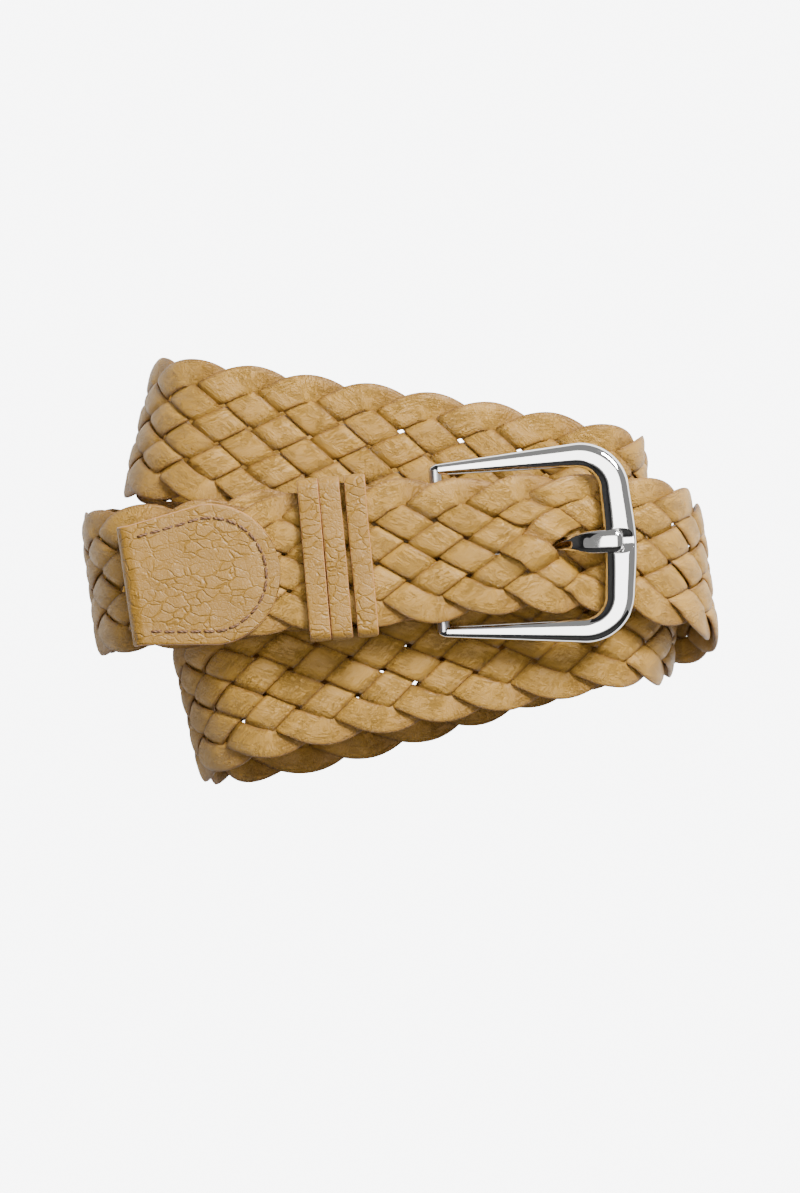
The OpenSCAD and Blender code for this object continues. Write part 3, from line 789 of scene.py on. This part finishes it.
def folded_object(name, where, leather, length, centre_x, straight_half, x0, half0, dent):
    """A piece folded round the strap's end and pressed along its seam."""
    cover = CORE + leather.thickness
    centre, outward, halves = folded_path(cover - leather.thickness / 2, centre_x, CAP_HALF,
                                          straight_half, cover)
    line, _ = seam(x0, half0, centre_x, CAP_HALF - leather.stitch_inset)
    press = stitch_dent(line, dent)

    def relief(run, y):
        x = np.broadcast_to(centre[:, 0][:, None], y.shape)
        width = np.broadcast_to(halves[:, None], y.shape)
        puff = 0.22 * np.clip(1 - (y / np.maximum(width, 0.1)) ** 4, 0, 1) * ramp(leather_reach(x), 0.0, 7.0)
        return press(x, y) + puff * (np.abs(outward[:, 2])[:, None] > 0.99)

    def leather_reach(x):
        return length - x

    points, faces, layers = strip(centre, outward, (0, 1, 0), halves, leather.thickness, across=41,
                                  relief=relief)
    return add_mesh(name, where.out(points.reshape(-1, 3)), faces, layers)


class BELT_OT_cap(bpy.types.Operator):
    """Fold the tip cap round the free end and sew it"""
    bl_idname = "belt.cap"
    bl_label = "Tip cap"

    def execute(self, context):
        leather, where, rng = context.scene.belt_leather, tip_place(), np.random.default_rng(7)
        xr, fold_half, x0, half0 = cap_parts(leather)
        cap = folded_object("folded_cap", where, leather, leather.cap_length, xr,
                            lambda x: mix(fold_half, CAP_HALF, np.clip(x / xr, 0, 1)), x0, half0, 0.16)
        sewn(cap, grained_leather(), "grained_leather", "strap", "tip_cap")
        line, run = seam(x0, half0, xr, CAP_HALF - leather.stitch_inset)
        for name, level, node in (("cap_upper_seam", 1, "tip_needle_thread"),
                                  ("cap_lower_seam", -1, "tip_bobbin_thread")):
            sewn(thread_object(name, where, line, run, level, leather, rng), twisted_thread(), "thread",
                 "strap", node)
        return {"FINISHED"}


class BELT_OT_chape(bpy.types.Operator):
    """Fold the chape round the heel bar and sew it"""
    bl_idname = "belt.chape"
    bl_label = "Chape"

    def execute(self, context):
        leather, where, rng = context.scene.belt_leather, chape_place(), np.random.default_rng(8)
        half = context.scene.belt_braid.strap_width / 2 - 1.7
        centre_x = leather.chape_length - CAP_HALF
        x0 = context.scene.belt_buckle.heel_diameter / 2 + 4
        half0 = half - leather.stitch_inset
        centre, outward, halves = folded_path(CORE + leather.thickness / 2, centre_x, CAP_HALF,
                                              lambda x: half + 0 * x, 0.0)
        parts, faces, skins, start = [], [], [], 0
        slot_end = context.scene.belt_buckle.heel_diameter / 2 + 2.6
        keep = centre[:, 0] > slot_end
        first, last = int(np.argmin(keep)), len(keep) - int(np.argmin(keep[::-1]))
        runs = [(slice(0, first), 0.0, None), (slice(last, None), 0.0, None),
                (slice(first - 1, last + 1), 1.0, 1), (slice(first - 1, last + 1), 1.0, -1)]
        for which, split, hand in runs:
            c, o, h = centre[which], outward[which], halves[which]
            if split:
                inner = 3.5
                c = c + np.array([0, hand * (half + inner) / 2, 0])
                h = np.full(len(c), (half - inner) / 2)
            points, quads, layers = strip(c, o, (0, 1, 0), h, leather.thickness, across=21)
            parts.append(points.reshape(-1, 3))
            faces += [[k + start for k in quad] for quad in quads]
            skins.append(layers["skin"])
            start += len(parts[-1])
        chape = add_mesh("folded_chape", where.out(np.vstack(parts)), faces, {"skin": np.vstack(skins)})
        sewn(chape, grained_leather(), "grained_leather", "strap", "chape")
        line, run = seam(x0, half0, centre_x, CAP_HALF - leather.stitch_inset)
        for name, level, node in (("chape_upper_seam", 1, "chape_needle_thread"),
                                  ("chape_lower_seam", -1, "chape_bobbin_thread")):
            sewn(thread_object(name, where, line, run, level, leather, rng), twisted_thread(), "thread",
                 "strap", node)
        return {"FINISHED"}


def satin_steel():
    """Steel of the heel bar and the staples."""
    return plain("satin_steel", tuple(sizes("belt_colours").steel), 0.3, 1.0)


def rounded_loop(half, low, high, radius, step=0.5):
    """Closed path (y, z) of a rounded rectangle with its outward normals."""
    corners = [(half - radius, high - radius, 0), (-half + radius, high - radius, 90),
               (-half + radius, low + radius, 180), (half - radius, low + radius, 270)]
    path, normals = [], []
    for i, (cy, cz, start) in enumerate(corners):
        for a in np.radians(np.linspace(start, start + 90, 9)):
            path.append((cy + radius * math.cos(a), cz + radius * math.sin(a)))
            normals.append((math.cos(a), math.sin(a)))
        ny, nz, after = corners[(i + 1) % 4]
        a = math.radians(after)
        end, n = (ny + radius * math.cos(a), nz + radius * math.sin(a)), (math.cos(a), math.sin(a))
        count = max(2, int(math.dist(path[-1], end) / step))
        for k in range(1, count):
            path.append(tuple(mix(np.array(path[-1 if k == 1 else -k]), np.array(end), k / count)))
            normals.append(n)
    return np.array(path), np.array(normals)


class BELT_OT_keepers(bpy.types.Operator):
    """Close the three narrow keeper loops round both layers of strap"""
    bl_idname = "belt.keepers"
    bl_label = "Keepers"

    def execute(self, context):
        leather, braid = context.scene.belt_leather, context.scene.belt_braid
        low = Z_STRAP - COVER_HALF - FIT - THREAD_ROOM
        high, t = Z_FREE + HALF + FIT, leather.keeper_thickness
        path, normals = rounded_loop(braid.strap_width / 2 + 0.1 + t / 2, low - t / 2, high + t / 2, 1.6)
        centre = np.stack([0 * path[:, 0], path[:, 0], path[:, 1]], 1)
        outward = np.stack([0 * path[:, 0], normals[:, 0], normals[:, 1]], 1)
        width = leather.keeper_width

        def crown(run, y):
            return 0.16 * (1 - (y / (width / 2)) ** 2) - 0.02

        for i, x in enumerate((-0.95 - width - 0.25, -0.95, -0.95 + width + 1.2)):
            where = Place(place(-14.3, 2.4, 0.0), 5.2)
            sway = 0.06 * np.sin(centre[:, 1] * (0.11 + 0.03 * i) + 1.7 * i)
            where.origin = where.out([x, 0, 0])
            swayed = centre + np.stack([sway, 0 * sway, 0 * sway], 1)
            points, faces, layers = strip(swayed, outward, (-1, 0, 0), width / 2 + 0.05, t, closed=True,
                                          across=17, edge=0.3, relief=crown)
            loop = add_mesh(f"loop_{i + 1}", where.out(points.reshape(-1, 3)), faces, layers)
            sewn(loop, grained_leather(), "grained_leather", f"keeper_{i + 1}", f"keeper_{i + 1}")
            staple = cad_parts[f"staple_{i + 1}"]
            staple.data.materials.clear()
            staple.data.materials.append(satin_steel())
        return {"FINISHED"}


# ---------------------------------------------------------------- buckle

def polished_nickel():
    """Bright plate with a faint handling haze."""
    name = "polished_nickel"
    if kept(name):
        return kept(name)
    net, colour = Net(name), tuple(sizes("belt_colours").nickel)
    spot = net.scaled(net.node("ShaderNodeTexCoord", None, None, out=3), (1000.0, 1000.0, 1000.0))
    haze = net.noise(spot, 0.25, 3.0)
    rough = net.node("ShaderNodeMapRange", None,
                     {"Value": haze, "From Min": 0.3, "From Max": 0.7, "To Min": 0.035, "To Max": 0.06})
    return net.finish(Base_Color=colour, Metallic=1.0, Roughness=rough)


def smooth_line(rows, steps):
    """A finer line through rows of values, with rounded joins."""
    rows = np.asarray(rows, float)
    k = np.linspace(0, len(rows) - 1, (len(rows) - 1) * steps + 1)
    i = np.minimum(k.astype(int), len(rows) - 2)
    f = (k - i)[:, None]
    before, after = rows[np.maximum(i - 1, 0)], rows[np.minimum(i + 2, len(rows) - 1)]
    a, b = rows[i], rows[i + 1]
    ma, mb = (b - before) / 2, (after - a) / 2
    return (a * (2 * f**3 - 3 * f**2 + 1) + ma * (f**3 - 2 * f**2 + f) + b * (3 * f**2 - 2 * f**3)
            + mb * (f**3 - f**2))


def superellipse(angle, power):
    """Cosine and sine drawn towards a rounded square."""
    c, s = np.cos(angle), np.sin(angle)
    return np.sign(c) * np.abs(c) ** power, np.sign(s) * np.abs(s) ** power


def frame_line(buckle, inside_half):
    """Middle line and width of the frame, from one arm's tip round to the other's."""
    bar_x, corner_r, full = buckle.length - buckle.bar_width / 2, 8.4, buckle.bar_width
    y0, y1 = inside_half + buckle.tip_width / 2, inside_half + buckle.arm_width / 2
    corner_x, corner_y = bar_x - corner_r, y1 - corner_r
    k = np.linspace(0, 1, 60)[:-1]
    arm = np.stack([mix(-1.4, corner_x, k), mix(y0, y1, k), mix(buckle.tip_width, buckle.arm_width, k)], 1)
    k = np.linspace(0, 1, 34)[:-1]
    a = math.pi / 2 * (1 - k)
    corner = np.stack([corner_x + corner_r * np.cos(a), corner_y + corner_r * np.sin(a),
                       mix(buckle.arm_width, full - 0.6, k)], 1)
    k = np.linspace(0, 1, 30)
    bar = np.stack([bar_x + 0.7 * np.sin(k * math.pi / 2), corner_y * (1 - k),
                    mix(full - 0.6, full, ease(k))], 1)
    half = np.vstack([arm, corner, bar])
    return np.vstack([half, half[-2::-1] * [1, -1, 1]])


class BELT_OT_buckle(bpy.types.Operator):
    """Cast the buckle frame and the prong"""
    bl_idname = "belt.buckle"
    bl_label = "Buckle"

    def execute(self, context):
        buckle, where = context.scene.belt_buckle, buckle_place(context.scene.belt_buckle)
        inside_half = context.scene.belt_braid.strap_width / 2 + 0.2
        line, sides = frame_line(buckle, inside_half), 44
        for _ in range(2):
            line[1:-1] = (line[:-2] + line[1:-1] * 2 + line[2:]) / 4
        tangent = unit(np.gradient(line[:, :2], axis=0))
        width = line[:, 2]
        height = buckle.thickness * mix(0.62, 1.0, np.clip((width - buckle.tip_width)
                                                           / (buckle.arm_width - buckle.tip_width), 0, 1))
        c, s = superellipse(TAU * (np.arange(sides) + 0.5) / sides, 0.72)
        end = np.minimum(np.arange(len(line)), np.arange(len(line))[::-1])
        close = np.sqrt(np.clip((end + 0.35) / 3.0, 0, 1))[:, None]
        reach = close * (width / 2)[:, None] * c
        x = line[:, 0][:, None] - tangent[:, 1][:, None] * reach
        y = line[:, 1][:, None] + tangent[:, 0][:, None] * reach
        z = close * np.where(s > 0, 0.55, 0.45) * height[:, None] * s
        rest, depth = 4.6, 0.9
        groove = np.where(np.abs(y) < rest, buckle.thickness * 0.55 + rest - depth
                          - np.sqrt(np.maximum(0.0, rest**2 - y**2)), 99.0)
        groove = np.where(x > buckle.length * 0.7, groove, 99.0)
        z = np.minimum(z, groove)
        frame_thing = add_mesh("cast_frame", where.out(np.stack([x, y, z], -1).reshape(-1, 3)),
                               ring_faces(len(line), sides))
        sewn(frame_thing, polished_nickel(), "nickel", "buckle", "buckle_frame")

        size, w, t = buckle.length, buckle.prong_width, buckle.prong_thickness
        top = buckle.thickness * 0.55 - depth + t / 2 + 0.25
        rows = smooth_line([
            (buckle.heel_diameter / 2 + 0.4, 0.1, 3.6, t), (size * 0.2, -0.2, 3.5, t),
            (size * 0.38, -0.9, 3.4, t),
            (size * 0.48, -0.9, 3, t), (size * 0.56, -0.7, 2.8, t * 0.85), (size * 0.64, 0.4, 3, t * 0.85),
            (size * 0.71, 1.9, 4, t * 0.95), (size * 0.78, top - 0.3, w - 0.2, t), (size * 0.86, top, w, t),
            (size * 0.91, top, w, t), (size * 0.935, top - 0.05, w * 0.8, t * 0.8),
            (size * 0.948, top - 0.1, w * 0.45, t * 0.5)], 9)
        c, s = superellipse(TAU * (np.arange(32) + 0.5) / 32, 0.8)
        px = rows[:, 0][:, None] + 0 * c
        py = rows[:, 2][:, None] / 2 * c
        pz = rows[:, 1][:, None] + rows[:, 3][:, None] / 2 * s
        body = np.stack([px, py, pz], -1).reshape(-1, 3)
        eye_sides = 48
        a = TAU * np.arange(eye_sides) / eye_sides
        eye = []
        for y, r in ((-2.5, 2.35), (-2.25, 2.6), (2.25, 2.6), (2.5, 2.35), (2.5, 1.6), (-2.5, 1.6)):
            eye.append(np.stack([r * np.cos(a), y + 0 * a, r * np.sin(a)], 1))
        eye_faces = []
        for i in range(len(eye)):
            near, far = len(body) + i * eye_sides, len(body) + (i + 1) % len(eye) * eye_sides
            for k in range(eye_sides):
                after = (k + 1) % eye_sides
                eye_faces.append([near + k, near + after, far + after, far + k])
        prong = add_mesh("cast_prong", where.out(np.vstack([body, *eye])),
                         ring_faces(len(rows), 32) + eye_faces)
        sewn(prong, polished_nickel(), "nickel", "prong", "prong")
        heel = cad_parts["heel_bar"]
        heel.data.materials.clear()
        heel.data.materials.append(satin_steel())
        return {"FINISHED"}


# ---------------------------------------------------------------- stage

def plain(name, colour, roughness=0.5, metallic=0.0, emission=0.0):
    """A plain material."""
    return kept(name) or Net(name).finish(Base_Color=colour, Roughness=roughness, Metallic=metallic,
                                          Emission_Color=colour, Emission_Strength=emission)


def area_light(name, place_m, aim_m, width, height, watts):
    """A soft rectangular light that faces a point."""
    light = bpy.data.lights.new(name, "AREA")
    light.shape, light.size, light.size_y, light.energy = "RECTANGLE", width, height, watts
    thing = bpy.data.objects.new(name, light)
    thing.location = place_m
    thing.rotation_euler = (Vector(aim_m) - Vector(place_m)).to_track_quat("-Z", "Y").to_euler()
    bpy.context.scene.collection.objects.link(thing)


FLOOR_HALF = 3000
FLOOR_DEPTH = 0.3
CARD_LEFT, CARD_NEAR, CARD_TOP = -900, -900, 2200
CAMERA_PLACE = (-0.0001, -0.0058, 1.2588)
LENS_MM, SENSOR_MM = 155.2, 36.0
WORLD_STRENGTH = 0.32
AIM = (0, 0, 0.03)


def upright(start, end):
    """Corners of an upright card over a line on the floor, in millimetres."""
    return [(*start, 0), (*end, 0), (*end, CARD_TOP), (*start, CARD_TOP)]


class BELT_OT_stage(bpy.types.Operator):
    """Set the table, the soft light and the camera"""
    bl_idname = "belt.stage"
    bl_label = "Stage"

    def execute(self, context):
        scene = context.scene
        tone = tuple(scene.belt_colours.floor)
        corners = [(x * FLOOR_HALF, y * FLOOR_HALF, -FLOOR_DEPTH)
                   for x, y in ((-1, -1), (1, -1), (1, 1), (-1, 1))]
        floor = add_mesh("floor", corners, [(0, 1, 2, 3)], smooth=False)
        floor.data.materials.append(plain("pale_table", tone, 0.9))
        floor.visible_camera = False
        glow = add_mesh("lit_floor", np.array(corners) - [0, 0, 0.2], [(0, 1, 2, 3)], smooth=False)
        glow.data.materials.append(plain("lit_table", tone, 0.9, emission=8.2))
        glow.visible_diffuse = glow.visible_glossy = glow.visible_shadow = False
        cards = {"shade_left": upright((CARD_LEFT, -2000), (CARD_LEFT, 2000)),
                 "shade_near": upright((CARD_LEFT, CARD_NEAR), (2000, CARD_NEAR))}
        shades = [add_mesh(name, card, [(0, 1, 2, 3)], smooth=False) for name, card in cards.items()]
        for card in shades:
            card.data.materials.append(plain("black_card", (0.01, 0.01, 0.01), 0.9))
            card.visible_camera = False
        world = bpy.data.worlds.new("studio")
        world.use_nodes = True
        world.node_tree.nodes["Background"].inputs["Color"].default_value = (1.0, 1.0, 1.0, 1.0)
        world.node_tree.nodes["Background"].inputs["Strength"].default_value = WORLD_STRENGTH
        scene.world = world
        area_light("key", (0.55, 0.75, 0.95), AIM, 0.45, 0.45, 47.0)
        area_light("top", (0.0, 0.0, 1.6), AIM, 0.9, 0.9, 16.0)
        lens = bpy.data.cameras.new("camera")
        lens.sensor_width, lens.lens, lens.sensor_fit = SENSOR_MM, LENS_MM, "AUTO"
        camera = bpy.data.objects.new("camera", lens)
        camera.location = CAMERA_PLACE
        scene.collection.objects.link(camera)
        scene.camera = camera
        return {"FINISHED"}


class BELT_PT_panel(bpy.types.Panel):
    """Buttons that build the belt"""
    bl_idname = "BELT_PT_panel"
    bl_label = "Braided Belt"
    bl_space_type = "VIEW_3D"
    bl_region_type = "UI"
    bl_category = "Belt"

    def draw(self, context):
        for operator in OPERATORS:
            self.layout.operator(operator.bl_idname)
        for group, kind in GROUPS.items():
            box = self.layout.box()
            for name in kind.__annotations__:
                box.prop(getattr(context.scene, group), name)


OPERATORS = (BELT_OT_laces, BELT_OT_cap, BELT_OT_chape, BELT_OT_keepers, BELT_OT_buckle, BELT_OT_stage)
CLASSES = (*GROUPS.values(), *OPERATORS, BELT_PT_panel)


def register():
    for item in CLASSES:
        bpy.utils.register_class(item)
    for group, kind in GROUPS.items():
        setattr(bpy.types.Scene, group, bpy.props.PointerProperty(type=kind))


def unregister():
    for group in GROUPS:
        delattr(bpy.types.Scene, group)
    for item in reversed(CLASSES):
        bpy.utils.unregister_class(item)


def main():
    """Builds every piece in order."""
    register()
    for operator in OPERATORS:
        group, name = operator.bl_idname.split(".")
        getattr(getattr(bpy.ops, group), name)()


if __name__ == "__main__":
    main()
